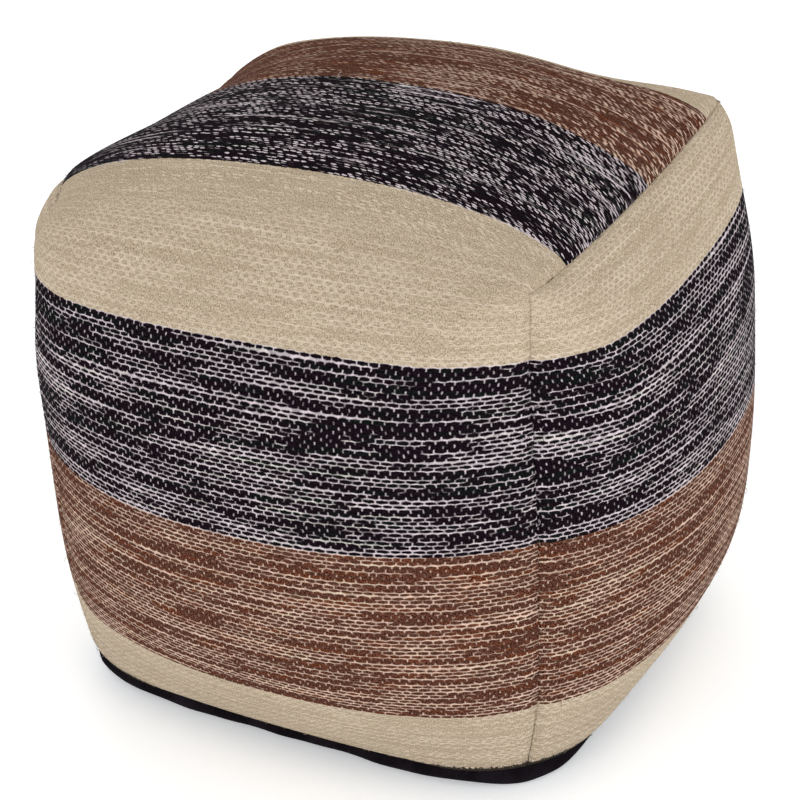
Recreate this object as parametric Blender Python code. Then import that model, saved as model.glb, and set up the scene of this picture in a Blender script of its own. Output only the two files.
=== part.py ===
"""Cube pouf stool: a filled cube with a striped cotton cover.

One strip of cloth wraps over the front, top and back of the filling, a square panel is sewn to it on
each side, and a plain base panel closes the bottom. Metres, +Z up, the front faces -Y, and the
origin is on the floor under the middle of the pouf.
"""
from math import atan2, cos, exp, pi, sin

import bmesh
import bpy
from mathutils import Vector

# ---- Driving sizes -----------------------------------------------------------------------------
SEAM_HEIGHT = 0.017         # bottom seam above the floor
WALL_HEIGHT = 0.407         # bottom seam to the top corners
DEPTH_SHARE = 0.885         # the strip is wider than the pouf is deep
FRONT_BULGE_SHARE = 1.02    # the front and back belly out a little more than the sides
BELLY_POWER = 2.4           # how full the bellies stay before they drop to the corner seams

CROWN = 0.0335              # rise of the top's middle above its corners
CROWN_LEAN = -0.04          # share by which the crown is fuller on the left
CROWN_POWERS = (2.9, 3.1)   # how full the crown stays before it drops: across, and front to back
RIGHT_FOLD = 0.024          # height over which the walls turn into the top, from the middle on
LEFT_FOLD = 0.043           # the same at the left, where the top is slacker
RIGHT_SAG = 0.0143          # dip of the top's right seam, midway
LEFT_SAG = 0.0315           # dip of the top's left seam, midway

CLOTH = 0.0025              # thickness of the woven panels
GAP = 0.0003                # clearance between two pieces that touch

SEAM_DIP = 0.0025           # depth of the valley that a seam pulls into the filling
SEAM_REACH = 0.035          # its half-width, as a share of half a panel

BASE_TUCK = 0.027           # how far the base panel curls in from the bottom seam to the floor
CORNER_TUCK = 0.008         # the same at the corners, where the base shows most
CORNER_SPREAD = 0.35        # how far along each side the corner's small tuck is felt
BASE_RIM = 0.22             # share of the base's half-width that curls up to the seam
# The base panel's edge waves in and out around the floor.
BASE_WAVES = (
    # waves in one turn, share of the tuck, start angle
    (9, 0.20, -3.1),
    (13, 0.25, 0.5),
)

# Walls from the bottom seam (level 0) to the top corners (level 1): half-width at the corner seams
# on the right and on the left, how far the middle bellies out beyond it, and the share of the
# half-width that is rounded, right and left.
WALL_LEVELS = (
    # right  left   belly   round right, left
    (0.193, 0.214, 0.013, 0.40, 0.29),
    (0.200, 0.205, 0.0535, 0.27, 0.27),
    (0.202, 0.198, 0.065, 0.19, 0.20),
    (0.209, 0.194, 0.056, 0.30, 0.19),
    (0.217, 0.201, 0.034, 0.41, 0.30),
    (0.213, 0.228, -0.0025, 0.15, 0.42),
)

# Soft hollows where the filling is slack: a point of the cube from -1 to 1, reach and depth.
HOLLOWS = (
    ((-0.80, 0.42, 1), 0.28, 0.0063),     # top, along its left edge
    ((0.55, 0.88, 1), 0.30, 0.0113),      # top, along its back edge
    ((0.93, 0.95, 1), 0.17, 0.0065),      # beside the back right corner
    ((-1, -0.85, 0.80), 0.30, 0.0108),    # left side, below the front corner
)

HALF_SIDE = 0.2             # half a side, near enough to set the gap around a panel
PANEL_SHARE = 1 - GAP / HALF_SIDE  # half a panel, as a share of half a side
# Panels sewn to the strip: the axis that each faces, and the direction along it.
PANELS = (
    ("side_right", 0, 1),
    ("side_left", 0, -1),
    ("base_panel", 2, -1),
)

PANEL_CUTS = 17             # grid lines across one face of the cube
EDGE_CROWDING = 0.55        # how much those lines crowd towards the edges, where the form turns
FACE_LIMIT = 0.999          # a grid face whose centre lies beyond this belongs to that side

WOVEN_ROUGHNESS = 0.95
BEIGE = (0.56, 0.47, 0.35)
CHARCOAL = (0.020, 0.015, 0.020)


# ---- The filled form ---------------------------------------------------------------------------
def clamp(value, low, high):
    """The value, kept between two limits."""
    return max(low, min(high, value))


def mix(first, second, share):
    """The first value for a share of 0, the second for a share of 1."""
    return first + (second - first) * share


def wall_at(level):
    """The wall's row of values at a level from 0 to 1, on a smooth curve through the table."""
    step = level * (len(WALL_LEVELS) - 1)
    start = clamp(int(step), 0, len(WALL_LEVELS) - 2)
    t = step - start
    first = Vector(WALL_LEVELS[start])
    second = Vector(WALL_LEVELS[start + 1])
    before = Vector(WALL_LEVELS[start - 1]) if start > 0 else 2 * first - second
    after = Vector(WALL_LEVELS[start + 2]) if start + 2 < len(WALL_LEVELS) else 2 * second - first
    slope_in = (second - before) / 2
    slope_out = (after - first) / 2
    return (
        first * (2 * t ** 3 - 3 * t ** 2 + 1)
        + slope_in * (t ** 3 - 2 * t ** 2 + t)
        + second * (3 * t ** 2 - 2 * t ** 3)
        + slope_out * (t ** 3 - t ** 2)
    )


def seam_dip(a, b, c):
    """How deep the nearest seam pulls a point in, for a point of the cube from -1 to 1."""
    distance = min(
        max(1 - abs(a), 1 - abs(b)),            # upright seams at the four corners
        max(1 - abs(a), 1 - c),                 # seams along the top's right and left edges
        max(1 + c, 1 - max(abs(a), abs(b))),    # bottom seam, all round
    )
    return SEAM_DIP * exp(-(distance / SEAM_REACH) ** 2)


def hollow_dip(a, b, c):
    """How deep the slack hollows go at a point of the cube."""
    point = Vector((a, b, c))
    return sum(
        depth * exp(-((point - Vector(middle)).length / reach) ** 2)
        for middle, reach, depth in HOLLOWS
    )


def wall_or_top(a, b, c):
    """Point and outward direction on the walls or top, for a point of the cube from -1 to 1."""
    level = (c + 1) / 2
    leftness = max(0, -a)
    *_, round_right, round_left = wall_at(level)
    corner_zone = mix(round_right, round_left, leftness)
    top_zone = mix(RIGHT_FOLD, LEFT_FOLD, leftness) / WALL_HEIGHT
    core = Vector((
        clamp(a, corner_zone - 1, 1 - corner_zone),
        clamp(b, corner_zone - 1, 1 - corner_zone),
        min(level, 1 - top_zone),
    ))
    zones = Vector((corner_zone, corner_zone, top_zone))
    turn = Vector((
        (a - core.x) / zones.x,
        (b - core.y) / zones.y,
        (level - core.z) / zones.z,
    ))
    outward = turn.normalized()
    u, v, w = core + zones * outward

    right, left, belly, *_ = wall_at(w)
    corner = mix(right, left, max(0, -u))
    arch_u = 1 - abs(u) ** BELLY_POWER
    arch_v = 1 - abs(v) ** BELLY_POWER
    x = u * (corner + belly * arch_v)
    y = v * (right * DEPTH_SHARE + belly * FRONT_BULGE_SHARE * arch_u)
    across, along = CROWN_POWERS
    crown = CROWN * (1 - abs(u) ** across) * (1 - abs(v) ** along) * (1 + CROWN_LEAN * u) * w ** 3
    sag = RIGHT_SAG if u > 0 else LEFT_SAG
    z = SEAM_HEIGHT + WALL_HEIGHT * w + crown - sag * arch_v * u * u * w * w
    return Vector((x, y, z)), outward


def tuck_at(a, b, heading):
    """How far the base curls in from a point of the bottom seam, in a direction from the middle."""
    waves = sum(share * sin(count * heading + start) for count, share, start in BASE_WAVES)
    from_corner = (1 - abs(a)) ** 2 + (1 - abs(b)) ** 2
    return mix(BASE_TUCK * (1 + waves), CORNER_TUCK, exp(-from_corner / CORNER_SPREAD ** 2))


def base_point(a, b, ring):
    """Point and outward direction on the base, which curls up to the bottom seam at its rim."""
    seam, outward = wall_or_top(a / ring, b / ring, -1)
    share = tuck_at(a / ring, b / ring, atan2(seam.y, seam.x)) / seam.xy.length
    curl = pi / 2 * min(1, (1 - ring) / BASE_RIM)
    inner = min(1, ring / (1 - BASE_RIM))
    plan = seam.xy * (1 - share * (1 - cos(curl))) * inner
    height = seam.z * (1 - sin(curl))
    facing = Vector((outward.x * cos(curl), outward.y * cos(curl), -sin(curl)))
    return Vector((plan.x, plan.y, height)), facing


def form_point(a, b, c, inset):
    """A point of the filled form, `inset` below its surface, for a point of the cube."""
    ring = max(abs(a), abs(b))
    if c < -FACE_LIMIT and ring == 0:
        return Vector((0, 0, inset))
    if c < -FACE_LIMIT and ring < 1:
        point, outward = base_point(a, b, ring)
    else:
        point, outward = wall_or_top(a, b, c)
    return point - outward * (seam_dip(a, b, c) + hollow_dip(a, b, c) + inset)


# ---- Pieces ------------------------------------------------------------------------------------
def crowd(value):
    """Moves a grid line from its even place towards the edges of the cube."""
    return (1 - EDGE_CROWDING) * value + EDGE_CROWDING * sin(pi / 2 * value)


def cube_grid():
    """A closed cube from -1 to 1 whose faces are grids of triangles, their diagonals all alike."""
    grid = bmesh.new()
    bmesh.ops.create_cube(grid, size=2)
    bmesh.ops.subdivide_edges(grid, edges=grid.edges[:], cuts=PANEL_CUTS, use_grid_fill=True)
    bmesh.ops.triangulate(grid, faces=grid.faces[:], quad_method="FIXED")
    for vertex in grid.verts:
        vertex.co = [crowd(value) for value in vertex.co]
    return grid


def faces_side(face, axis, direction):
    """True for a face of the cube on the side that an axis and a direction along it name."""
    return face.calc_center_median()[axis] * direction > FACE_LIMIT


def shape_and_add(name, grid, inner, depth, material, collection):
    """Moves a grid onto the form, the inner vertices `depth` below it, and makes it an object."""
    for vertex in grid.verts:
        vertex.co = form_point(*vertex.co, depth if vertex in inner else 0)
    mesh = bpy.data.meshes.new(name)
    grid.to_mesh(mesh)
    grid.free()
    mesh.shade_smooth()
    mesh.materials.append(material)
    piece = bpy.data.objects.new(name, mesh)
    collection.objects.link(piece)


def add_cover_wrap(material, collection):
    """The strip and its filling in one solid, sunk where the other panels lie on it."""
    grid = cube_grid()
    covered = [face for face in grid.faces
               if any(faces_side(face, axis, direction) for _, axis, direction in PANELS)]
    extruded = bmesh.ops.extrude_face_region(grid, geom=covered)["geom"]
    sunk = {item for item in extruded if isinstance(item, bmesh.types.BMVert)}
    bmesh.ops.delete(grid, geom=covered, context="FACES")
    shape_and_add("cover_wrap", grid, sunk, CLOTH + GAP, material, collection)


def add_panel(name, axis, direction, material, collection):
    """A panel of cloth over one side of the cube, a gap short of the seams."""
    grid = cube_grid()
    others = [face for face in grid.faces if not faces_side(face, axis, direction)]
    bmesh.ops.delete(grid, geom=others, context="FACES")
    short = Vector((PANEL_SHARE, PANEL_SHARE, PANEL_SHARE))
    short[axis] = 1
    for vertex in grid.verts:
        if vertex.is_boundary:
            vertex.co *= short
    inner = set(grid.verts)
    bmesh.ops.extrude_face_region(grid, geom=grid.faces[:])
    shape_and_add(name, grid, inner, CLOTH, material, collection)


def cloth_material(name, colour):
    """Plain woven cotton in one colour."""
    material = bpy.data.materials.new(name)
    material.use_nodes = True
    shader = material.node_tree.nodes["Principled BSDF"]
    shader.inputs["Base Color"].default_value = (*colour, 1)
    shader.inputs["Roughness"].default_value = WOVEN_ROUGHNESS
    shader.inputs["Metallic"].default_value = 0
    material.diffuse_color = (*colour, 1)
    return material


def clear_scene():
    """Removes the objects that a new scene starts with."""
    for item in list(bpy.data.objects):
        bpy.data.objects.remove(item, do_unlink=True)


def build():
    """Adds the wrap, its two side panels and the base panel."""
    clear_scene()
    collection = bpy.data.collections.new("cube_pouf_stool")
    bpy.context.scene.collection.children.link(collection)
    striped = cloth_material("striped_cotton", BEIGE)
    plain = cloth_material("base_cotton", CHARCOAL)
    add_cover_wrap(striped, collection)
    for name, axis, direction in PANELS:
        material = plain if name == "base_panel" else striped
        add_panel(name, axis, direction, material, collection)


build()
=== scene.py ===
"""The looks of the cube pouf stool: its stuffed cover, seams, slub weave and base cloth.

Metres, +Z up, the front faces -Y. Each section is one piece of the real pouf, in the order in which
it is made up: the strip, the side panels, the base panel, the loose fibres, then the studio.
"""

from math import atan2, cos, exp, pi, radians, sin

import bmesh
import bpy
from mathutils import Matrix, Vector


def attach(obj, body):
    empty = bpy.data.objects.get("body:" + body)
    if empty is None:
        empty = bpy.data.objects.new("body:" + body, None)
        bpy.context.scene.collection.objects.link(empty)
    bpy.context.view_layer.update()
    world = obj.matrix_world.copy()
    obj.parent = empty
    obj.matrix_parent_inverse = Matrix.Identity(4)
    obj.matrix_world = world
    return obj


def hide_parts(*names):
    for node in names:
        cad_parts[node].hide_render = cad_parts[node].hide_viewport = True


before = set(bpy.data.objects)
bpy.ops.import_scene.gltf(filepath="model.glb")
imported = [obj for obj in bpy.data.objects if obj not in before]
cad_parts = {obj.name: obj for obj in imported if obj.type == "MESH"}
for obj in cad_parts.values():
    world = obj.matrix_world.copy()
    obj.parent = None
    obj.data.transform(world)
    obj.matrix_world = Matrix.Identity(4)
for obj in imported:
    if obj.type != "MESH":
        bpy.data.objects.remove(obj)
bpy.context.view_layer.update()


# ==== The strip over the front, top and back ======================================================
# One length of heavy cotton, woven in wide bands, that wraps over the stuffing from the front's
# bottom seam to the back's. The whole stuffed form is shaped here first, and the strip is cut from it.

SEAM_HEIGHT = 0.017         # bottom seam above the floor
WALL_HEIGHT = 0.407         # bottom seam to the top corners
DEPTH_SHARE = 0.885         # the strip is wider than the pouf is deep
FRONT_BULGE_SHARE = 1.02    # the front and back belly out a little more than the sides
BELLY_POWER = 2.4           # how full the bellies stay before they drop to the corner seams

CROWN = 0.0335              # rise of the top's middle above its corners
CROWN_LEAN = -0.04          # share by which the crown is fuller on the left
CROWN_POWERS = (2.9, 3.1)   # how full the crown stays before it drops: across, and front to back
RIGHT_FOLD = 0.024          # height over which the walls turn into the top, from the middle on
LEFT_FOLD = 0.043           # the same at the left, where the top is slacker
RIGHT_SAG = 0.0143          # dip of the top's right seam, midway
LEFT_SAG = 0.0315           # dip of the top's left seam, midway

CLOTH = 0.0025              # thickness of the woven panels
GAP = 0.0003                # clearance between two pieces that touch

SEAM_DIP = 0.0025           # depth of the valley that a seam pulls into the filling
SEAM_REACH = 0.035          # its half-width, as a share of half a panel

BASE_TUCK = 0.027           # how far the base panel curls in from the bottom seam to the floor
SIDE_TUCK = 0.040           # the same along the right and left, where the sides hang over it
RIGHT_CORNER_TUCK = 0.008   # the same at the right corners, where the base shows most
LEFT_CORNER_TUCK = 0.022
CORNER_SPREAD = 0.35        # how far along each side the corner's small tuck is felt
SIDE_START = 0.3            # how far from a corner the tuck and curl of a side are full
SIDE_CURL = 0.7             # angle at which the base leaves the seam along the right and left
BASE_RIM = 0.22             # share of the base's half-width that curls up to the seam
# The base panel's edge waves in and out around the floor.
BASE_WAVES = (
    # waves in one turn, share of the tuck, start angle
    (9, 0.20, -3.1),
    (13, 0.25, 0.5),
    (29, 0.12, -3.0),
)

# Walls from the bottom seam (level 0) to the top corners (level 1): half-width at the corner seams
# on the right and on the left, how far the middle bellies out beyond it, and the share of the
# half-width that is rounded, right and left.
WALL_LEVELS = (
    # right  left   belly   round right, left
    (0.193, 0.214, 0.013, 0.40, 0.29),
    (0.200, 0.205, 0.0535, 0.27, 0.27),
    (0.202, 0.198, 0.065, 0.19, 0.20),
    (0.209, 0.194, 0.056, 0.30, 0.19),
    (0.217, 0.201, 0.034, 0.41, 0.30),
    (0.213, 0.228, -0.0025, 0.15, 0.42),
)

# Soft hollows where the filling is slack, and a swell of negative depth where it is pushed out: a
# point of the cube from -1 to 1, reach and depth.
HOLLOWS = (
    ((-0.80, 0.42, 1), 0.28, 0.0063),     # top, along its left edge
    ((0.55, 0.88, 1), 0.30, 0.0113),      # top, along its back edge
    ((0.93, 0.95, 1), 0.17, 0.0065),      # beside the back right corner
    ((-1, -0.85, 0.80), 0.30, 0.0135),    # left side, below the front corner
    ((-1, -0.47, 0.97), 0.26, -0.0085),   # left side, swelling over the top's seam
)


def clamp(value, low, high):
    """The value, kept between two limits."""
    return max(low, min(high, value))


def mix(first, second, share):
    """The first value for a share of 0, the second for a share of 1."""
    return first + (second - first) * share


def wall_at(level):
    """The wall's row of values at a level from 0 to 1, on a smooth curve through the table."""
    step = level * (len(WALL_LEVELS) - 1)
    start = clamp(int(step), 0, len(WALL_LEVELS) - 2)
    t = step - start
    first = Vector(WALL_LEVELS[start])
    second = Vector(WALL_LEVELS[start + 1])
    before = Vector(WALL_LEVELS[start - 1]) if start > 0 else 2 * first - second
    after = Vector(WALL_LEVELS[start + 2]) if start + 2 < len(WALL_LEVELS) else 2 * second - first
    slope_in = (second - before) / 2
    slope_out = (after - first) / 2
    return (
        first * (2 * t ** 3 - 3 * t ** 2 + 1)
        + slope_in * (t ** 3 - 2 * t ** 2 + t)
        + second * (3 * t ** 2 - 2 * t ** 3)
        + slope_out * (t ** 3 - t ** 2)
    )


def seam_distance(a, b, c):
    """Distance to the nearest seam for a point of the cube from -1 to 1, as a share of half a side."""
    return min(
        max(1 - abs(a), 1 - abs(b)),            # upright seams at the four corners
        max(1 - abs(a), 1 - c),                 # seams along the top's right and left edges
        max(1 + c, 1 - max(abs(a), abs(b))),    # bottom seam, all round
    )


def hollow_dip(a, b, c):
    """How deep the slack hollows go at a point of the cube."""
    point = Vector((a, b, c))
    return sum(
        depth * exp(-((point - Vector(middle)).length / reach) ** 2)
        for middle, reach, depth in HOLLOWS
    )


def wall_or_top(a, b, c):
    """Point and outward direction on the walls or top, for a point of the cube from -1 to 1."""
    level = (c + 1) / 2
    leftness = max(0, -a)
    *_, round_right, round_left = wall_at(level)
    corner_zone = mix(round_right, round_left, leftness)
    top_zone = mix(RIGHT_FOLD, LEFT_FOLD, leftness) / WALL_HEIGHT
    core = Vector((
        clamp(a, corner_zone - 1, 1 - corner_zone),
        clamp(b, corner_zone - 1, 1 - corner_zone),
        min(level, 1 - top_zone),
    ))
    zones = Vector((corner_zone, corner_zone, top_zone))
    turn = Vector((
        (a - core.x) / zones.x,
        (b - core.y) / zones.y,
        (level - core.z) / zones.z,
    ))
    outward = turn.normalized()
    u, v, w = core + zones * outward

    right, left, belly, *_ = wall_at(w)
    corner = mix(right, left, max(0, -u))
    arch_u = 1 - abs(u) ** BELLY_POWER
    arch_v = 1 - abs(v) ** BELLY_POWER
    x = u * (corner + belly * arch_v)
    y = v * (right * DEPTH_SHARE + belly * FRONT_BULGE_SHARE * arch_u)
    across, along = CROWN_POWERS
    crown = CROWN * (1 - abs(u) ** across) * (1 - abs(v) ** along) * (1 + CROWN_LEAN * u) * w ** 3
    sag = RIGHT_SAG if u > 0 else LEFT_SAG
    z = SEAM_HEIGHT + WALL_HEIGHT * w + crown - sag * arch_v * u * u * w * w
    return Vector((x, y, z)), outward


def sideways_at(b):
    """1 for a point of the bottom seam along the right and left, falling to 0 at the corners."""
    return clamp((1 - abs(b)) / SIDE_START, 0, 1)


def tuck_at(a, b, heading):
    """How far the base curls in from a point of the bottom seam, in a direction from the middle."""
    waves = sum(share * sin(count * heading + start) for count, share, start in BASE_WAVES)
    tuck = mix(BASE_TUCK, SIDE_TUCK, sideways_at(b)) * (1 + waves)
    corner = RIGHT_CORNER_TUCK if a > 0 else LEFT_CORNER_TUCK
    from_corner = (1 - abs(a)) ** 2 + (1 - abs(b)) ** 2
    return mix(tuck, corner, exp(-from_corner / CORNER_SPREAD ** 2))


def base_point(a, b, ring):
    """Point on the base, which curls up to the bottom seam at its rim."""
    seam, _ = wall_or_top(a / ring, b / ring, -1)
    share = tuck_at(a / ring, b / ring, atan2(seam.y, seam.x)) / seam.xy.length
    start = SIDE_CURL * sideways_at(b / ring)
    curl = mix(start, pi / 2, min(1, (1 - ring) / BASE_RIM))
    inner = min(1, ring / (1 - BASE_RIM))
    plan = seam.xy * (1 - share * (1 - cos(curl) / cos(start))) * inner
    height = seam.z * (1 - (sin(curl) - sin(start)) / (1 - sin(start)))
    return Vector((plan.x, plan.y, height))


STEPS = 48                  # quads across one side of the pouf, before it is subdivided
CROWDING = 0.6              # how much they crowd towards the seams, where the form turns
# Each side of the pouf: its first corner on a cube of steps, the way across it and the way up it.
# The strip runs up the front, back over the top and down the back.
SIDES = {
    "front": ((0, 0, 0), (1, 0, 0), (0, 0, 1)),
    "top": ((0, 0, 1), (1, 0, 0), (0, 1, 0)),
    "back": ((0, 1, 1), (1, 0, 0), (0, 0, -1)),
    "right": ((1, 0, 0), (0, 1, 0), (0, 0, 1)),
    "left": ((0, 1, 0), (0, -1, 0), (0, 0, 1)),
    "base": ((0, 1, 0), (1, 0, 0), (0, -1, 0)),
}
SIDE_NUMBERS = {side: number for number, side in enumerate(SIDES)}


def step_on(side, across, up):
    """The cube's step at a place on one side, counted from the side's first corner."""
    corner, along, upward = (Vector(item) for item in SIDES[side])
    return tuple(int(value) for value in corner * STEPS + along * across + upward * up)


def cube_point(step):
    """The point of the cube from -1 to 1 at a step, crowded towards the seams."""
    even = [2 * value / STEPS - 1 for value in step]
    return Vector([(1 - CROWDING) * value + CROWDING * sin(pi / 2 * value) for value in even])


def form_point(step):
    """The stuffed form's surface at a step of the cube."""
    a, b, c = cube_point(step)
    ring = max(abs(a), abs(b))
    if step[2] == 0 and ring == 0:
        return Vector((0, 0, 0))
    if step[2] == 0 and ring < 1:
        return base_point(a, b, ring)
    point, outward = wall_or_top(a, b, c)
    return point - outward * hollow_dip(a, b, c)


def lengths_from(points, start):
    """How far each of a row of points lies from the one at `start`, along the row."""
    spans = [(second - first).length for first, second in zip(points, points[1:])]
    reach = [sum(spans[:count]) for count in range(len(points))]
    return [value - reach[start] for value in reach]


skin = bmesh.new()
cube_layer = skin.verts.layers.float_vector.new("cube")
side_layer = skin.faces.layers.int.new("side")
cloth_uv = skin.loops.layers.uv.new("cloth")
corners = {}
for side in SIDES:
    for across in range(STEPS + 1):
        for up in range(STEPS + 1):
            step = step_on(side, across, up)
            if step not in corners:
                corners[step] = skin.verts.new(form_point(step))
                corners[step][cube_layer] = cube_point(step)

# The cloth's own measure along the strip: a row of the weave keeps one length from the bottom seam.
climb = {}
reached = 0
for side in ("front", "top", "back"):
    columns = [
        lengths_from([corners[step_on(side, across, up)].co for up in range(STEPS + 1)], 0)
        for across in range(STEPS + 1)
    ]
    climb[side] = [reached + sum(row) / len(row) for row in zip(*columns)]
    reached = climb[side][-1]
strip_length = reached
climb["right"] = climb["left"] = climb["front"]
climb["base"] = [0.5 * value for value in climb["front"]]

for side in SIDES:
    rows = [
        lengths_from([corners[step_on(side, across, up)].co for across in range(STEPS + 1)], STEPS // 2)
        for up in range(STEPS + 1)
    ]
    for across in range(STEPS):
        for up in range(STEPS):
            places = ((across, up), (across + 1, up), (across + 1, up + 1), (across, up + 1))
            face = skin.faces.new([corners[step_on(side, *place)] for place in places])
            face[side_layer] = SIDE_NUMBERS[side]
            face.smooth = True
            for loop, (i, j) in zip(face.loops, places):
                loop[cloth_uv].uv = (rows[j][i], climb[side][j])
skin_mesh = bpy.data.meshes.new("skin")
skin.to_mesh(skin_mesh)
skin.free()
skin_object = bpy.data.objects.new("skin", skin_mesh)
bpy.context.scene.collection.objects.link(skin_object)

# The cover is blown up between its held seams, from a slightly slacker start, as stuffing fills it.
SLACK = 0.0003              # how far inside its full shape the cover starts, away from the seams
SWELL_LIMIT = 0.0016        # the furthest any point may move
SWELL_STEPS = 14            # frames of the simulation
SEAM_HOLD = 0.2             # distance from a seam at which the cover hangs free, in half panels
BASE_LEVEL = -0.999         # height on the cube below which a point belongs to the base


def freedom_at(a, b, c):
    """0 where the cover is held, at the seams and under the base, and 1 where it is free to move."""
    return 0 if c < BASE_LEVEL else clamp(seam_distance(a, b, c) / SEAM_HOLD, 0, 1)


held = skin_object.vertex_groups.new(name="held")
for vertex, item in zip(skin_mesh.vertices, skin_mesh.attributes["cube"].data):
    freedom = freedom_at(*item.vector)
    if freedom == 0:
        held.add([vertex.index], 1, "REPLACE")
    vertex.co -= vertex.normal * (SLACK * freedom)
starts = [vertex.co.copy() for vertex in skin_mesh.vertices]
stuffed = skin_object.modifiers.new("stuffed cloth", "CLOTH")
stuffed.settings.quality = 4
stuffed.settings.mass = 0.3
stuffed.settings.tension_stiffness = stuffed.settings.compression_stiffness = 20
stuffed.settings.bending_stiffness = 1
stuffed.settings.use_pressure = True
stuffed.settings.uniform_pressure_force = 7
stuffed.settings.vertex_group_mass = "held"
stuffed.settings.effector_weights.gravity = 0
stuffed.collision_settings.use_collision = False
stuffed.point_cache.frame_start = 1
stuffed.point_cache.frame_end = SWELL_STEPS
for frame_number in range(1, SWELL_STEPS + 1):
    bpy.context.scene.frame_set(frame_number)
settled = skin_object.evaluated_get(bpy.context.evaluated_depsgraph_get())
ends = [vertex.co.copy() for vertex in settled.data.vertices]
skin_object.modifiers.remove(stuffed)
bpy.context.scene.frame_set(1)
for vertex, start, end in zip(skin_mesh.vertices, starts, ends):
    move = end - start
    if move.length > SWELL_LIMIT:
        move *= SWELL_LIMIT / move.length
    vertex.co = start + move
skin_mesh.update()

smoother = skin_object.modifiers.new("subdivision", "SUBSURF")
smoother.levels = smoother.render_levels = 1
smoothed = skin_object.evaluated_get(bpy.context.evaluated_depsgraph_get())
fine_mesh = bpy.data.meshes.new_from_object(smoothed)
bpy.data.objects.remove(skin_object)

ON_SEAM = 1e-4              # distance from a seam within which a point lies on it
SEAM_NIP = 0.0004           # extra depth at the very seam, where both edges turn inwards
SEAM_GAP = 0.00006          # between the turned edges, which all but touch
FOLD_DEPTH = 0.004          # depth of the fold in which the top's left seam starts, at the front
FOLD_REACH = 0.02           # its half-width, as a share of half a panel
FOLD_DRAG = 0.006           # how far the left panel pushes the seam over towards the top's middle
DRAG_REACH = 0.10           # half-width of the cloth that it pushes over, as a share of half a panel
FOLD_SPAN = (-1.0, -0.55)   # from where to where it runs back, along the cube
CREASE_FADE = 0.12          # how far along it a seam's crease fades out, as a share of half a panel
CREASE_WIDTH = 0.005        # half-width of a crease's painted shade
FOLD_WIDTH = 0.045          # the same in the fold
FOLD_LEVEL = 0.9            # height on the cube above which the fold's crease runs
LOW_CREASE_SHADE = 0.75           # how dark the painted shade in the corner seams' creases is at the bottom
HIGH_CREASE_SHADE = 0.4           # the same higher up
LOW_LEVEL = -0.8            # height on the cube from which they grow fainter
SPOT_PLACE = -0.80          # a spot of painted shade in the top's right seam, as a place from front to back
SPOT_REACH = 0.04           # its half-width
SPOT_SHADE = 0.9           # how dark its painted shade is
TOP_EDGE = 0.99             # height on the cube above which a point lies on the top's seams
LINT_REACH = 0.02           # half-width of the lint along a seam, as a share of half a panel
BASE_LINT_REACH = 0.03      # the same along the edge of the base panel
LINT_ALL_OVER = 0.04        # lint away from the seams, as a share of that along them


def fold_move(a, b, c, outward):
    """How the fold at the front end of the top's left seam moves a point of the cloth."""
    if a > 0 or c < 0:
        return Vector((0, 0, 0))
    start, end = FOLD_SPAN
    along = clamp((end - b) / (end - start) * 2, 0, 1)
    distance = max(1 + a, 1 - c)
    sink = FOLD_DEPTH * along * exp(-(distance / FOLD_REACH) ** 2)
    drag = FOLD_DRAG * along * exp(-(distance / DRAG_REACH) ** 2)
    return Vector((drag, 0, 0)) - outward * sink


def crease_shade_at(a, b, c):
    """How dark and closed the crease is at a point of a seam, from 0 to 1; its darkness is painted
    shade.
    """
    if a < 0 and c > FOLD_LEVEL:
        return clamp((FOLD_SPAN[1] - b) / CREASE_FADE, 0, 1)
    if a > 0 and c > TOP_EDGE and b > -TOP_EDGE:
        return SPOT_SHADE * exp(-((b - SPOT_PLACE) / SPOT_REACH) ** 2)
    return mix(LOW_CREASE_SHADE, HIGH_CREASE_SHADE, clamp((c - LOW_LEVEL) / CREASE_FADE, 0, 1))


def face_order(face, count):
    """A number that puts the faces of a piece with so many points in one order on every run."""
    first, second, third, *_ = sorted(corner.index for corner in face.verts)
    return (first * count + second) * count + third


def mark_lint_and_crease_shade(piece, on_base, hidden):
    """Stores how linty the cloth is at each point, for the loose fibres, and how creased, for the
    painted shade in the seams' creases.
    """
    lint_of = piece.verts.layers.float["lint"]
    crease_shade_of = piece.verts.layers.float["crease_shade"]
    cube_of = piece.verts.layers.float_vector["cube"]
    for vertex in piece.verts:
        a, b, c = vertex[cube_of]
        if on_base:
            from_edge = 1 - max(abs(a), abs(b))
            vertex[lint_of] = exp(-(from_edge / BASE_LINT_REACH) ** 2)
        else:
            from_edge = seam_distance(a, b, max(c, 0))
            vertex[lint_of] = LINT_ALL_OVER + exp(-(from_edge / LINT_REACH) ** 2)
        width = FOLD_WIDTH if a < 0 and c > FOLD_LEVEL else CREASE_WIDTH
        vertex[crease_shade_of] = crease_shade_at(a, b, c) * max(0, 1 - seam_distance(a, b, c) / width)
    for vertex in hidden:
        vertex[lint_of] = 0


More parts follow.
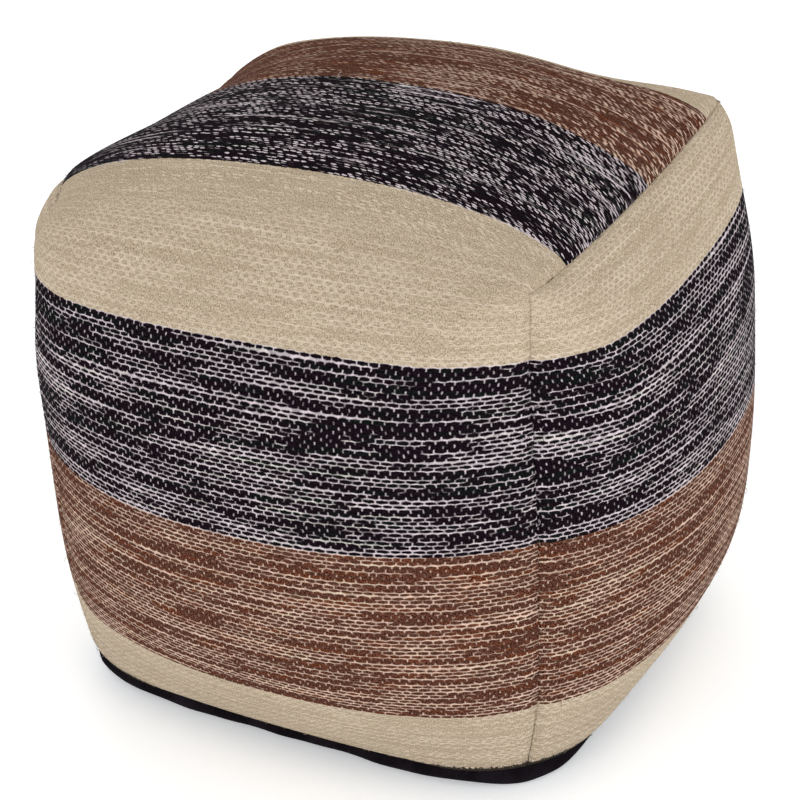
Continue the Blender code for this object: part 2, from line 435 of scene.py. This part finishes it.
def cut_from_skin(name, sides, depth):
    """An object of the skin's chosen sides; its other sides are left out, or sunk by `depth`."""
    piece = bmesh.new()
    piece.from_mesh(fine_mesh)
    piece.verts.layers.float.new("lint")
    piece.verts.layers.float.new("crease_shade")
    cube_of = piece.verts.layers.float_vector["cube"]
    side_of = piece.faces.layers.int["side"]
    piece.normal_update()
    # Each seam pulls a valley into the cloth, and the fold moves it further.
    moves = {}
    for vertex in piece.verts:
        distance = seam_distance(*vertex[cube_of])
        dip = SEAM_DIP * exp(-(distance / SEAM_REACH) ** 2)
        if distance < ON_SEAM:
            dip += SEAM_NIP
        moves[vertex] = fold_move(*vertex[cube_of], vertex.normal) - vertex.normal * dip
    normals = {vertex: vertex.normal.copy() for vertex in piece.verts}
    for vertex, move in moves.items():
        vertex.co += move
    chosen = {SIDE_NUMBERS[side] for side in sides}
    others = [face for face in piece.faces if face[side_of] not in chosen]
    # With a depth the piece is a closed body, sunk where panels cover it. Without, it is a sheet,
    # drawn back a little from its seams and given the cloth's thickness inwards.
    if depth:
        extruded = bmesh.ops.extrude_face_region(piece, geom=others)["geom"]
        sunk = [item for item in extruded if isinstance(item, bmesh.types.BMVert)]
        bmesh.ops.delete(piece, geom=others, context="FACES")
        piece.normal_update()
        for vertex in sunk:
            vertex.co -= vertex.normal * depth
        hidden = sunk
    else:
        bmesh.ops.delete(piece, geom=others, context="FACES")
        border = [vertex for vertex in piece.verts if vertex.is_boundary]
        for vertex in border:
            inner = [edge.other_vert(vertex).co for edge in vertex.link_edges if not edge.is_boundary]
            if inner:
                vertex.co += (inner[0] - vertex.co).normalized() * SEAM_GAP
        outer = {vertex: normals[vertex] for vertex in piece.verts}
        bmesh.ops.extrude_face_region(piece, geom=piece.faces[:])
        for vertex in outer:
            vertex.co -= outer[vertex] * CLOTH
        hidden = list(outer)
    mark_lint_and_crease_shade(piece, "base" in sides, hidden)
    # Extruding leaves the faces in an order that differs from run to run, and the lint is sown face
    # by face, so they are put in order.
    piece.verts.index_update()
    count = len(piece.verts)
    piece.faces.sort(key=lambda face: face_order(face, count))
    mesh = bpy.data.meshes.new(name)
    piece.to_mesh(mesh)
    piece.free()
    result = bpy.data.objects.new(name, mesh)
    bpy.context.scene.collection.objects.link(result)
    return result


def linear(hex_colour):
    """An sRGB hex colour as linear values, with full alpha."""
    parts = [int(hex_colour[at:at + 2], 16) / 255 for at in (1, 3, 5)]
    return (*[part / 12.92 if part <= 0.04045 else ((part + 0.055) / 1.055) ** 2.4 for part in parts], 1)


def add(tree, kind, links=None, **settings):
    """Adds a node with its settings; `links` gives what an input takes, a node, a socket or a value."""
    made = tree.nodes.new(kind)
    for name, value in settings.items():
        setattr(made, name, value)
    for name, source in (links or {}).items():
        if isinstance(source, bpy.types.Node):
            source = source.outputs[0]
        if isinstance(source, bpy.types.NodeSocket):
            tree.links.new(source, made.inputs[name])
        else:
            made.inputs[name].default_value = source
    return made


def maths(tree, operation, *values):
    """Adds a maths node that works on one to three nodes, sockets or numbers."""
    return add(tree, "ShaderNodeMath", dict(enumerate(values)), operation=operation)


TICK_PITCH = 0.0079         # from one warp tick to the next in a row
PICK_PITCH = 0.0031         # from one row of weft to the next
BRICK_SWELL = 0.06          # how much a row swells between its ticks, in rows
# Band edges up the strip, as a side of the pouf and a point of the cube along it from -1 to 1.
BAND_EDGES = (
    ("front", -0.648, "rust"),
    ("front", 0.050, "black"),
    ("front", 0.701, "beige"),
    ("top", -0.696, "black"),
    ("top", 0.060, "rust"),
    ("top", 0.668, "beige"),
    ("back", -0.682, "black"),
    ("back", -0.019, "rust"),
    ("back", 0.661, "beige"),
)


def height_on_strip(side, place):
    """How far up the strip, in metres, a place on one side lies, which runs from -1 to 1 along it."""
    points = [cube_point(step_on("front", 0, up)).z for up in range(STEPS + 1)]
    for up in range(STEPS):
        if points[up] <= place <= points[up + 1]:
            share = (place - points[up]) / (points[up + 1] - points[up])
            return climb[side][up] + share * (climb[side][up + 1] - climb[side][up])
    return climb[side][-1]


# Three masks in one ramp: red for beige, green for black, blue for rust.
MASKS = {"beige": (1, 0, 0, 1), "black": (0, 1, 0, 1), "rust": (0, 0, 1, 1)}

# Slub cotton: thick soft-spun weft packed over a thin light warp, so the colour stands in rows of
# round bricks, with the warp as light ticks between them and light slub strands between the rows.
weave = bpy.data.materials.new("banded_slub_cotton")
weave.use_nodes = True
tree = weave.node_tree
tree.nodes.clear()
VECTOR = "ShaderNodeVectorMath"
NOISE = "ShaderNodeTexNoise"
RANGE = "ShaderNodeMapRange"
MIX = "ShaderNodeMix"

cloth = add(tree, "ShaderNodeUVMap", uv_map="cloth")
place = add(tree, "ShaderNodeSeparateXYZ", {0: cloth})
across, along = place.outputs["X"], place.outputs["Y"]


def noise_on(scale_across, scale_up, detail=1.0):
    """Noise on the cloth with so many cells to a metre across and up it."""
    at = add(tree, VECTOR, {0: cloth, 1: (scale_across, scale_up, 0)}, operation="MULTIPLY")
    return add(tree, NOISE, {"Vector": at, "Scale": 1.0, "Detail": detail, "Roughness": 0.5})


def noise_along(number, cells, seed, detail=1.0):
    """Noise that runs along one row or line of the weave and differs in the next."""
    at = add(tree, "ShaderNodeCombineXYZ", {
        0: maths(tree, "MULTIPLY", across, cells), 1: maths(tree, "MULTIPLY", number, seed),
    })
    return add(tree, NOISE, {"Vector": at, "Scale": 1.0, "Detail": detail, "Roughness": 0.6})


# Rows grow thicker and thinner, waver, and have hairy edges; ticks stray a little.
drift = noise_on(5, 110, 2.0)
waver = noise_on(70, 170)
hairs = noise_on(1000, 1500)
row_shift = maths(
    tree, "MULTIPLY_ADD", drift, 0.55,
    maths(tree, "MULTIPLY_ADD", waver, 0.35, maths(tree, "MULTIPLY_ADD", hairs, 0.5, -0.70)),
)
stray = noise_on(25, 60)
hair_parts = add(tree, "ShaderNodeSeparateColor", {0: hairs.outputs["Color"]})
tick_shift = maths(
    tree, "MULTIPLY_ADD", stray, 0.6,
    maths(tree, "MULTIPLY_ADD", hair_parts.outputs["Green"], 0.16, -0.38),
)
ends = maths(tree, "MULTIPLY_ADD", across, 1 / TICK_PITCH, tick_shift)
picks = maths(tree, "MULTIPLY_ADD", along, 1 / PICK_PITCH, row_shift)
# Rows swell over their bricks, so that the lines between them run in waves.
ends_turn = maths(tree, "COSINE", maths(tree, "MULTIPLY", ends, 2 * pi))
picks_turn = maths(tree, "COSINE", maths(tree, "MULTIPLY", picks, pi))
swell = maths(tree, "MULTIPLY", ends_turn, picks_turn)
rows = maths(tree, "MULTIPLY_ADD", swell, BRICK_SWELL, picks)
row = maths(tree, "FLOOR", rows)
in_row = maths(tree, "SUBTRACT", maths(tree, "FRACT", rows), 0.5)
# Odd rows are half a pitch along, so that ticks and bricks alternate.
brick = maths(tree, "MULTIPLY_ADD", row, 0.5, maths(tree, "ADD", ends, 0.5))
tick_number = maths(tree, "ROUND", brick)
cell = add(tree, "ShaderNodeCombineXYZ", {0: tick_number, 1: row})
chance = add(tree, "ShaderNodeTexWhiteNoise", {"Vector": cell}, noise_dimensions="2D")
chances = add(tree, "ShaderNodeSeparateColor", {0: chance.outputs["Color"]})
# Signed distance from the nearest tick, in pitches; each tick strays from its even place.
from_tick = maths(
    tree, "SUBTRACT", maths(tree, "SUBTRACT", brick, tick_number),
    maths(tree, "MULTIPLY_ADD", chances.outputs["Red"], 0.32, -0.16),
)
tick_distance = maths(tree, "ABSOLUTE", from_tick)

# Which band a row belongs to, and whether it lies on the top.
ramp_stops = [(height_on_strip(side, point) / strip_length, band) for side, point, band in BAND_EDGES]
band_ramp = add(tree, "ShaderNodeValToRGB", {
    0: maths(tree, "MULTIPLY_ADD", row, PICK_PITCH / strip_length, 0.5 * PICK_PITCH / strip_length),
})
band_ramp.color_ramp.interpolation = "CONSTANT"
band_ramp.color_ramp.elements[0].color = MASKS["beige"]
band_ramp.color_ramp.elements.remove(band_ramp.color_ramp.elements[1])
for position, band in ramp_stops:
    band_ramp.color_ramp.elements.new(position).color = MASKS[band]
row_band = add(tree, "ShaderNodeSeparateColor", {0: band_ramp})
in_black, in_rust = row_band.outputs["Green"], row_band.outputs["Blue"]
TOP_MIDDLE = 0.5 * (climb["top"][0] + climb["top"][-1])
TOP_HALF = 0.5 * (climb["top"][-1] - climb["top"][0])
from_top = maths(tree, "ABSOLUTE", maths(tree, "SUBTRACT", along, TOP_MIDDLE))
on_top = add(tree, RANGE, {"Value": from_top, "From Min": TOP_HALF, "From Max": 0.8 * TOP_HALF},
             interpolation_type="SMOOTHSTEP")


def by_band(beige, black, rust):
    """A number that differs from band to band."""
    first = add(tree, MIX, {"Factor": in_black, "A": beige, "B": black})
    return add(tree, MIX, {"Factor": in_rust, "A": first, "B": rust})


def colour_by_band(beige, black, rust):
    """A colour that differs from band to band."""
    first = add(tree, MIX, {"Factor": in_black, 6: linear(beige), 7: linear(black)}, data_type="RGBA")
    return add(tree, MIX, {"Factor": in_rust, 6: first.outputs[2], 7: linear(rust)},
               data_type="RGBA").outputs[2]


# Light slub strands between the rows: each line has its own, of many lengths, with tapered ends.
lines = maths(tree, "ADD", rows, 0.5)
line = maths(tree, "FLOOR", lines)
from_line = maths(tree, "ABSOLUTE", maths(tree, "SUBTRACT", maths(tree, "FRACT", lines), 0.5))
line_chance = add(tree, "ShaderNodeTexWhiteNoise", {"W": line}, noise_dimensions="1D")
line_chances = add(tree, "ShaderNodeSeparateColor", {0: line_chance.outputs["Color"]})
long_slub = noise_along(line, 9, 7.31)
short_slub = noise_along(line, 50, 3.17, 2.0)
patch = noise_on(10, 22, 3.0)
amount = maths(
    tree, "MULTIPLY_ADD", short_slub, 0.45,
    maths(
        tree, "MULTIPLY_ADD", patch, 0.20,
        maths(tree, "MULTIPLY_ADD", line_chances.outputs["Red"], 0.12, long_slub),
    ),
)
fullness = add(tree, RANGE, {
    "Value": maths(tree, "SUBTRACT", amount, by_band(0.80, 0.84, 0.805)),
    "From Min": 0.0, "From Max": 0.30,
})
near_tick = add(tree, RANGE, {"Value": tick_distance, "From Min": 0.5, "From Max": 0.0})
swell_at_tick = maths(tree, "POWER", near_tick, 2.0)
most_thick = maths(
    tree, "MULTIPLY_ADD", line_chances.outputs["Green"], by_band(0.08, 0.18, 0.16),
    by_band(0.03, 0.08, 0.08),
)
thickness = maths(tree, "MULTIPLY_ADD", fullness, most_thick, 0.07)
flared = maths(
    tree, "MULTIPLY", thickness,
    maths(tree, "MULTIPLY_ADD", swell_at_tick, by_band(0.1, 0.6, 0.6), 0.9),
)
strand_shape = add(tree, RANGE, {
    "Value": maths(tree, "SUBTRACT", flared, from_line), "From Min": -0.07, "From Max": 0.07,
}, interpolation_type="SMOOTHSTEP")
strand_light = add(tree, RANGE, {
    "Value": noise_along(line, 130, 5.77),
    "From Min": 0.30, "From Max": 0.62, "To Min": 0.45, "To Max": 1.0,
})
strand_there = add(tree, RANGE, {"Value": fullness, "From Max": 0.10})
strand = maths(tree, "MULTIPLY", maths(tree, "MULTIPLY", strand_shape, strand_there), strand_light)
# Ticks of the light warp: upright, taller where strands lie beside them, flat and faint in the beige.
tick_half = by_band(0.18, 0.055, 0.055)
tick_tall = maths(tree, "MULTIPLY_ADD", fullness, 0.3, by_band(0.16, 0.38, 0.36))
tick_side = add(tree, RANGE, {
    "Value": maths(tree, "SUBTRACT", tick_half, tick_distance), "From Min": -0.04, "From Max": 0.04,
}, interpolation_type="SMOOTHSTEP")
tick_height = maths(
    tree, "ABSOLUTE",
    maths(tree, "MULTIPLY_ADD", chances.outputs["Green"], 0.30, maths(tree, "SUBTRACT", in_row, 0.15)),
)
tick_top = add(tree, RANGE, {
    "Value": maths(tree, "SUBTRACT", tick_tall, tick_height), "From Min": -0.12, "From Max": 0.12,
}, interpolation_type="SMOOTHSTEP")
tick_light = add(tree, RANGE, {
    "Value": maths(tree, "MULTIPLY_ADD", fullness, 0.5, chances.outputs["Blue"]),
    "From Min": 0.1, "From Max": 1.2,
    "To Min": by_band(0.25, 0.25, 0.15), "To Max": by_band(0.6, 1.0, 1.0),
})
tick = maths(tree, "MULTIPLY", maths(tree, "MULTIPLY", tick_side, tick_top), tick_light)
network = maths(tree, "MAXIMUM", tick, strand)
# On the top the strands show as short dashes that slant across the rows. Towards the right they are
# steeper, more and lighter, and by the left seam they are dim.
DASH_PITCH = 0.0056         # from one dash to the next along a row of them
DASH_ROWS = 0.0023          # from one row of dashes to the next
to_right = add(tree, RANGE, {"Value": across, "From Min": 0.0, "From Max": 0.18},
               interpolation_type="SMOOTHSTEP")
dash_ends = maths(tree, "MULTIPLY_ADD", across, 1 / DASH_PITCH, tick_shift)
dash_rows = maths(tree, "MULTIPLY_ADD", along, 1 / DASH_ROWS, row_shift)
dash_row = maths(tree, "FLOOR", dash_rows)
dash_brick = maths(tree, "MULTIPLY_ADD", dash_row, 0.37, dash_ends)
dash_number = maths(tree, "ROUND", dash_brick)
dash_chance = add(tree, "ShaderNodeTexWhiteNoise", {
    "Vector": add(tree, "ShaderNodeCombineXYZ", {0: dash_number, 1: dash_row}),
}, noise_dimensions="2D")
dash_chances = add(tree, "ShaderNodeSeparateColor", {0: dash_chance.outputs["Color"]})
from_dash = maths(
    tree, "SUBTRACT", maths(tree, "SUBTRACT", dash_brick, dash_number),
    maths(tree, "MULTIPLY_ADD", dash_chances.outputs["Red"], 0.6, -0.3),
)
up_dash = maths(tree, "SUBTRACT", maths(tree, "FRACT", dash_rows), 0.5)
steepness = maths(tree, "MULTIPLY_ADD", to_right, 0.5, 0.25)
slant = maths(tree, "MULTIPLY_ADD", from_dash, steepness, up_dash)
dash_stray = maths(tree, "MULTIPLY_ADD", dash_chances.outputs["Green"], 0.36, -0.18)
dash_height = maths(tree, "ABSOLUTE", maths(tree, "ADD", slant, dash_stray))
dash_bulge = maths(tree, "MULTIPLY_ADD", maths(tree, "MULTIPLY", from_dash, from_dash), -1.3, 0.30)
dash_amount = maths(
    tree, "ADD", noise_along(dash_row, 14, 6.13),
    maths(tree, "MULTIPLY_ADD", to_right, 0.04, maths(tree, "MULTIPLY", patch, 0.35)),
)
dash_amount = maths(tree, "MULTIPLY_ADD", dash_chances.outputs["Blue"], 0.30, dash_amount)
dash_fullness = add(tree, RANGE, {"Value": dash_amount, "From Min": 0.76, "From Max": 1.00})
dash_shape = add(tree, RANGE, {
    "Value": maths(tree, "SUBTRACT", maths(tree, "MULTIPLY", dash_bulge, dash_fullness), dash_height),
    "From Min": -0.07, "From Max": 0.07,
}, interpolation_type="SMOOTHSTEP")
from_left = add(tree, RANGE, {"Value": across, "From Min": -0.21, "From Max": -0.10, "To Min": 0.2})
brightest = maths(tree, "MULTIPLY_ADD", to_right, by_band(0, 0, 0.4), by_band(0.8, 1.0, 0.62))
brightest = maths(tree, "MULTIPLY", brightest, from_left)
dash_light = add(tree, RANGE, {"Value": dash_fullness, "From Max": 0.6, "To Max": brightest})
dash = maths(tree, "MULTIPLY", dash_shape, dash_light)
proud = add(tree, RANGE, {"Value": fullness, "From Min": 0.45, "From Max": 0.9, "To Max": brightest})
top_strands = maths(tree, "MAXIMUM", maths(tree, "MULTIPLY", strand, proud), dash)
light_share = add(tree, MIX, {"Factor": on_top, "A": network, "B": top_strands})

# Colours: each yarn changes tint along its way, and short fibres speckle it.
streak = noise_along(row, 22, 9.13)
tint = add(tree, RANGE, {"Value": streak, "From Min": 0.50, "From Max": 0.68})
usual = colour_by_band("#b2a18a", "#120a10", "#4b2e24")
other = colour_by_band("#b7a890", "#0c100f", "#572f1e")
main_colour = add(tree, MIX, {"Factor": tint, 6: usual, 7: other}, data_type="RGBA")
speckle = noise_on(1250, 800)
speckle_light = add(tree, RANGE, {
    "Value": speckle, "From Min": 0.38, "From Max": 0.62,
    "To Min": by_band(0.73, 0.2, 0.25), "To Max": by_band(1.27, 2.4, 2.2),
}, clamp=False)
# The lowest rows grow darker towards the bottom seams.
from_end = maths(tree, "MINIMUM", along, maths(tree, "SUBTRACT", strip_length, along))
darker_low = add(tree, RANGE, {"Value": from_end, "From Max": 0.12, "To Min": 0.84, "To Max": 1.0})
# Painted shade darkens the creases of the seams, where the turned edges lie in shade.
crease_shade = add(tree, RANGE, {
    "Value": add(tree, "ShaderNodeAttribute", attribute_name="crease_shade").outputs["Fac"],
    "From Min": 0.25, "From Max": 0.9, "To Min": 1.0, "To Max": 0.15,
})
# Painted shade in the creases, times the darkening of the lowest rows.
darker_low_and_crease_shade = maths(tree, "MULTIPLY", darker_low, crease_shade)
speckled = add(tree, VECTOR, {
    0: main_colour.outputs[2], "Scale": maths(tree, "MULTIPLY", speckle_light, darker_low_and_crease_shade),
}, operation="SCALE")
light_tint = add(tree, RANGE, {"Value": noise_along(line, 14, 4.41), "From Min": 0.55, "From Max": 0.75})
light_usual = colour_by_band("#dac9b5", "#d6c9ce", "#dabda9")
light_other = colour_by_band("#dccdb6", "#d9d5cd", "#ddcab0")
light_colour = add(tree, MIX, {
    "Factor": light_tint, 6: light_usual, 7: light_other,
}, data_type="RGBA")
yarns = add(tree, MIX, {
    "Factor": light_share, 6: speckled, 7: light_colour.outputs[2],
}, data_type="RGBA")
# The cover's lowest edge is painted near-black, in a band of ragged width.
dark_edge_noise = noise_on(700, 180, 2.0)
dark_edge_reach = add(tree, RANGE, {"Value": dark_edge_noise, "From Min": 0.35, "From Max": 0.70,
                                "To Min": 0.0045, "To Max": 0.0130})
dark_edge = add(tree, RANGE, {
    "Value": maths(tree, "SUBTRACT", dark_edge_reach, from_end),
    "From Min": -0.0002, "From Max": 0.0004, "To Max": 0.92,
})
mixed = add(tree, MIX, {
    "Factor": dark_edge, 6: yarns.outputs[2], 7: linear("#100c10"),
}, data_type="RGBA")
# Relief: the bricks are round, the ticks lie between them.
row_dome = maths(tree, "MULTIPLY", in_row, in_row)
end_dome = maths(tree, "MULTIPLY_ADD", swell_at_tick, -0.5, 1.0)
relief = maths(tree, "MULTIPLY", maths(tree, "MULTIPLY_ADD", row_dome, -2.4, 1.0), end_dome)
bump = add(tree, "ShaderNodeBump", {"Height": relief, "Strength": 0.5, "Distance": 0.0006})
shader = add(tree, "ShaderNodeBsdfPrincipled", {
    "Base Color": mixed.outputs[2],
    "Roughness": 0.92,
    "Normal": bump,
    "Specular IOR Level": 0.02,
})
add(tree, "ShaderNodeOutputMaterial", {"Surface": shader})

strip = cut_from_skin("strip", ("front", "top", "back"), CLOTH + GAP)
strip.data.materials.append(weave)
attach(strip, "root")
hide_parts("cover_wrap")


# ==== The side panels =============================================================================
# A square of the same banded cotton sewn to the strip on each side, its bands level with the front's.

panels = []
for side in ("right", "left"):
    panel = cut_from_skin(f"{side}_panel", (side,), 0)
    panel.data.materials.append(weave)
    panels.append(panel)
    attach(panel, "root")
    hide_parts(f"side_{side}")


# ==== The base panel ==============================================================================
# Plain black cotton, sewn to the cover's bottom edge; its rim curls up from the floor to the seam.

CANVAS_PITCH = 0.0011       # from one thread of the canvas to the next, both ways

# Black cotton canvas: a plain weave, seen as a fine even grain, a little faded in places. From here
# on `tree` and `cloth`, and so noise_on, are this material's.
base_cloth = bpy.data.materials.new("black_cotton_canvas")
base_cloth.use_nodes = True
tree = base_cloth.node_tree
tree.nodes.clear()
cloth = add(tree, "ShaderNodeUVMap", uv_map="cloth")
threads = add(tree, VECTOR, {0: cloth, "Scale": pi / CANVAS_PITCH}, operation="SCALE")
waves = add(tree, "ShaderNodeSeparateXYZ", {0: add(tree, VECTOR, {0: threads}, operation="SINE")})
over_under = maths(tree, "MULTIPLY", waves.outputs["X"], waves.outputs["Y"])
grain = add(tree, RANGE, {
    "Value": over_under, "From Min": -1.0, "From Max": 1.0, "To Min": 0.0, "To Max": 0.35,
})
fade = noise_on(40, 40, 2.0)
faded = add(tree, RANGE, {"Value": fade, "From Min": 0.4, "From Max": 0.75})
canvas_share = maths(tree, "MULTIPLY_ADD", faded, 0.4, grain)
canvas_colour = add(tree, MIX, {"Factor": canvas_share, 6: linear("#080508"), 7: linear("#29232a")},
                    data_type="RGBA")
canvas_bump = add(tree, "ShaderNodeBump", {"Height": over_under, "Strength": 0.4, "Distance": 0.0003})
canvas_shader = add(tree, "ShaderNodeBsdfPrincipled", {
    "Base Color": canvas_colour.outputs[2],
    "Roughness": 0.95,
    "Normal": canvas_bump,
    "Specular IOR Level": 0.03,
})
add(tree, "ShaderNodeOutputMaterial", {"Surface": canvas_shader})

base = cut_from_skin("base", ("base",), 0)
base.data.materials.append(base_cloth)
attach(base, "root")
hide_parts("base_panel")


# ==== Loose fibres ================================================================================
# Lint from the soft-spun yarns: short fibres that have worked loose all over the cover, and thickly
# along the seams, where the cut edges are turned in.

# Kind of lint: fibre's length and thickness, how far it turns from upright, and how many there are
# to a square metre where they are thickest. The base's edge is shaggy, and its lint stands up.
COVER_LINT = {"Fibre length": 0.0032, "Fibre thickness": 0.00022, "Turn from upright": pi,
              "Fibres to a square metre": 90000.0}
BASE_LINT = {"Fibre length": 0.0030, "Fibre thickness": 0.00025, "Turn from upright": 0.6,
             "Fibres to a square metre": 90000.0}
LINT_TILT = 0.4             # how far a fibre may tip over its root, in radians, either way
LINT_LENGTHS = (0.5, 1.4)   # shortest and longest, as a share of the fibre's length

lint_tree = bpy.data.node_groups.new("loose_fibres", "GeometryNodeTree")
lint_tree.is_modifier = True
lint_sockets = {}
for label, kind in (
    ("Cloth", "NodeSocketGeometry"),
    ("Fibres to a square metre", "NodeSocketFloat"),
    ("Fibre length", "NodeSocketFloat"),
    ("Fibre thickness", "NodeSocketFloat"),
    ("Turn from upright", "NodeSocketFloat"),
    ("Yarn", "NodeSocketMaterial"),
    ("Seed", "NodeSocketInt"),
):
    socket = lint_tree.interface.new_socket(label, in_out="INPUT", socket_type=kind)
    lint_sockets[label] = socket.identifier
lint_tree.interface.new_socket("Fibres", in_out="OUTPUT", socket_type="NodeSocketGeometry")
given = add(lint_tree, "NodeGroupInput").outputs
density = maths(
    lint_tree, "MULTIPLY",
    add(lint_tree, "GeometryNodeInputNamedAttribute", {"Name": "lint"}, data_type="FLOAT"),
    given["Fibres to a square metre"],
)
roots = add(lint_tree, "GeometryNodeDistributePointsOnFaces", {
    "Mesh": given["Cloth"], "Density": density, "Seed": given["Seed"],
})
# One fibre: it leaves the cloth at a low angle, bends over and tapers to its end.
bend = add(lint_tree, "ShaderNodeCombineXYZ", {"Y": 0.5, "Z": 0.55})
tip = add(lint_tree, "ShaderNodeCombineXYZ", {"Y": 1.0, "Z": 0.35})
fibre_curve = add(lint_tree, "GeometryNodeCurveQuadraticBezier", {
    "Resolution": 2,
    "Start": (0, 0, 0),
    "Middle": add(lint_tree, VECTOR, {0: bend, "Scale": given["Fibre length"]}, operation="SCALE"),
    "End": add(lint_tree, VECTOR, {0: tip, "Scale": given["Fibre length"]}, operation="SCALE"),
})
taper = maths(
    lint_tree, "MULTIPLY_ADD", add(lint_tree, "GeometryNodeSplineParameter").outputs["Factor"], -0.6,
    1.0,
)
fibre = add(lint_tree, "GeometryNodeCurveToMesh", {
    "Curve": add(lint_tree, "GeometryNodeSetCurveRadius", {"Curve": fibre_curve, "Radius": taper}),
    "Profile Curve": add(lint_tree, "GeometryNodeCurvePrimitiveCircle", {
        "Resolution": 3, "Radius": maths(lint_tree, "MULTIPLY", given["Fibre thickness"], 0.5),
    }),
    "Fill Caps": True,
})
upright = add(lint_tree, "FunctionNodeAlignRotationToVector", {
    "Rotation": roots.outputs["Rotation"], "Vector": (0, 0, 1),
}, axis="Y", pivot_axis="Z")
least = add(lint_tree, "ShaderNodeCombineXYZ", {
    "X": -LINT_TILT, "Y": -LINT_TILT,
    "Z": maths(lint_tree, "MULTIPLY", given["Turn from upright"], -1.0),
})
most = add(lint_tree, "ShaderNodeCombineXYZ", {
    "X": LINT_TILT, "Y": LINT_TILT, "Z": given["Turn from upright"],
})
spin = add(lint_tree, "FunctionNodeRandomValue", {
    0: least, 1: most, "Seed": given["Seed"],
}, data_type="FLOAT_VECTOR")
turned = add(lint_tree, "FunctionNodeRotateRotation", {
    "Rotation": upright, "Rotate By": spin.outputs[0],
}, rotation_space="LOCAL")
stretch = add(lint_tree, "FunctionNodeRandomValue", {
    2: LINT_LENGTHS[0], 3: LINT_LENGTHS[1], "Seed": given["Seed"],
}, data_type="FLOAT")
planted = add(lint_tree, "GeometryNodeInstanceOnPoints", {
    "Points": roots.outputs["Points"], "Instance": fibre, "Rotation": turned,
    "Scale": stretch.outputs[1],
})
# Each fibre takes its colour from the place on the cloth where it is rooted.
rooted = add(lint_tree, "GeometryNodeStoreNamedAttribute", {
    "Geometry": add(lint_tree, "GeometryNodeRealizeInstances", {0: planted}),
    "Name": "cloth",
    "Value": add(lint_tree, "GeometryNodeInputNamedAttribute", {
        "Name": "cloth",
    }, data_type="FLOAT_VECTOR"),
}, data_type="FLOAT2", domain="CORNER")
add(lint_tree, "NodeGroupOutput", {
    0: add(lint_tree, "GeometryNodeSetMaterial", {"Geometry": rooted, "Material": given["Yarn"]}),
})


def grow_lint(name, cloth_object, yarn, kind, seed):
    """The loose fibres of one piece of cloth, as a plain mesh of their own."""
    source = bpy.data.objects.new(name, cloth_object.data.copy())
    bpy.context.scene.collection.objects.link(source)
    modifier = source.modifiers.new("loose fibres", "NODES")
    modifier.node_group = lint_tree
    for label, value in kind.items():
        modifier[lint_sockets[label]] = value
    modifier[lint_sockets["Yarn"]] = yarn
    modifier[lint_sockets["Seed"]] = seed
    evaluated = source.evaluated_get(bpy.context.evaluated_depsgraph_get())
    mesh = bpy.data.meshes.new_from_object(evaluated)
    source.modifiers.remove(modifier)
    source.data = mesh
    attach(source, "root")


cover_pieces = (strip, *panels)
for seed, piece in enumerate(cover_pieces, 1):
    grow_lint(f"{piece.name}_lint", piece, weave, COVER_LINT, seed)
grow_lint("base_lint", base, base_cloth, BASE_LINT, 5)


# ==== The studio ==================================================================================
# A white floor and soft light from all round, with the camera where the photograph's stood.

FLOOR_SIZE = 8              # metres across
PAPER_GLOW = 0.29           # strength of the light that the paper gives off
ROOM_LIGHT = 0.77           # strength of the even light from all round

# Matt white paper, lit a little from within, so that it is as white all over as in the photograph
# and the pouf's shadow on it stays faint.
bpy.ops.mesh.primitive_plane_add(size=FLOOR_SIZE)
floor = bpy.context.object
floor.name = "floor"
floor_paint = bpy.data.materials.new("white_paper")
floor_paint.use_nodes = True
floor_shader = floor_paint.node_tree.nodes["Principled BSDF"]
floor_shader.inputs["Base Color"].default_value = linear("#fdfeff")
floor_shader.inputs["Roughness"].default_value = 0.9
floor_shader.inputs["Emission Color"].default_value = linear("#fbfdff")
floor_shader.inputs["Emission Strength"].default_value = PAPER_GLOW
floor.data.materials.append(floor_paint)

world = bpy.data.worlds.new("white_room")
world.use_nodes = True
world.node_tree.nodes["Background"].inputs["Color"].default_value = (1, 1, 1, 1)
world.node_tree.nodes["Background"].inputs["Strength"].default_value = ROOM_LIGHT
bpy.context.scene.world = world

# Soft boxes: place, size across and power in watts. All of them face the middle of the pouf.
SOFT_BOXES = (
    ((-0.2, -2.4, 1.3), 1.6, 11),   # in front
    ((2.4, -0.5, 1.3), 1.6, 14),    # to the right
    ((-1.6, 1.9, 1.3), 1.6, 10),    # behind, to the left
)
POUF_MIDDLE = Vector((0, 0, 0.2))
for number, (spot, size, watts) in enumerate(SOFT_BOXES):
    lamp = bpy.data.lights.new(f"soft_box_{number}", "AREA")
    lamp.size = size
    lamp.energy = watts
    holder = bpy.data.objects.new(lamp.name, lamp)
    holder.location = spot
    holder.rotation_euler = (POUF_MIDDLE - Vector(spot)).to_track_quat("-Z", "Y").to_euler()
    bpy.context.scene.collection.objects.link(holder)

CAMERA_PLACE = Vector((0.6704, -1.1847, 0.9676))
CAMERA_TURN = radians(29.34)    # to the left of looking along +Y
CAMERA_TILT = radians(-29.27)   # below level
CAMERA_ROLL = radians(-4.24)
CAMERA_LENS = 91.7              # mm
CAMERA_SENSOR = 36              # mm across

camera_data = bpy.data.cameras.new("camera")
camera_data.lens = CAMERA_LENS
camera_data.sensor_width = CAMERA_SENSOR
camera = bpy.data.objects.new("camera", camera_data)
aim = (
    Matrix.Rotation(CAMERA_TURN, 4, "Z")
    @ Matrix.Rotation(pi / 2 + CAMERA_TILT, 4, "X")
    @ Matrix.Rotation(CAMERA_ROLL, 4, "Z")
)
camera.matrix_world = Matrix.Translation(CAMERA_PLACE) @ aim
bpy.context.scene.collection.objects.link(camera)
bpy.context.scene.camera = camera
bpy.context.scene.view_settings.view_transform = "Standard"
